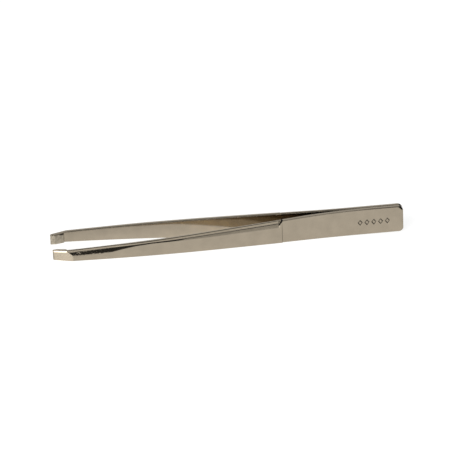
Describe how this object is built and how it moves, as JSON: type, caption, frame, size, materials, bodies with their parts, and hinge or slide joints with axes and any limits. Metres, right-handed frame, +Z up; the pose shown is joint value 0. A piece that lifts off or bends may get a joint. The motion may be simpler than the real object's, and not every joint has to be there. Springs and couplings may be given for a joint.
{
  "type": "slant tweezers",
  "caption": "Slant tweezers: sprung, tapering metal arms welded at a flat heel, with bevelled outer edges and toed-in jaws that close when squeezed.",
  "frame": {"origin": "on the surface the tweezers lie on, under the middle of their bounding box", "axes": "+X runs back along the tweezers from the tips to the heel, +Y from the front arm to the rear arm across the gap, +Z up across the arms' width. The tweezers lie on the narrow lower edges of the blades, which tips their own middle line 1.89 degrees towards the tips."},
  "size_m": [0.09, 0.0116, 0.0078],
  "materials": {
    "nickel_plate": "polished warm nickel plate with fine handling marks, matt grinding marks on the jaws",
    "weld_metal": "dull fused steel, hidden between the heels"
  },
  "bodies": {
    "heel": {"front_arm_heel": "nickel_plate", "rear_arm_heel": "nickel_plate", "spot_weld_inner": "weld_metal", "spot_weld_outer": "weld_metal"},
    "front_blade": {"front_arm_blade": "nickel_plate"},
    "rear_blade": {"rear_arm_blade": "nickel_plate"}
  },
  "joints": [
    {"name": "rear_arm_flex", "type": "hinge", "parent": "heel", "child": "rear_blade", "pos_m": [0.02497, 0.00081, 0.0036], "axis": [-0.033, 0, 0.9995], "range_deg": [0, 2.95], "stiffness_Nm_per_rad": 2.5},
    {"name": "front_arm_flex", "type": "hinge", "parent": "heel", "child": "front_blade", "pos_m": [0.02497, -0.00081, 0.0036], "axis": [0.033, 0, -0.9995], "range_deg": [0, 2.95], "stiffness_Nm_per_rad": 2.5}
  ],
  "couplings": [
    {"joint": "front_arm_flex", "follows": "rear_arm_flex", "ratio": 1}
  ]
}
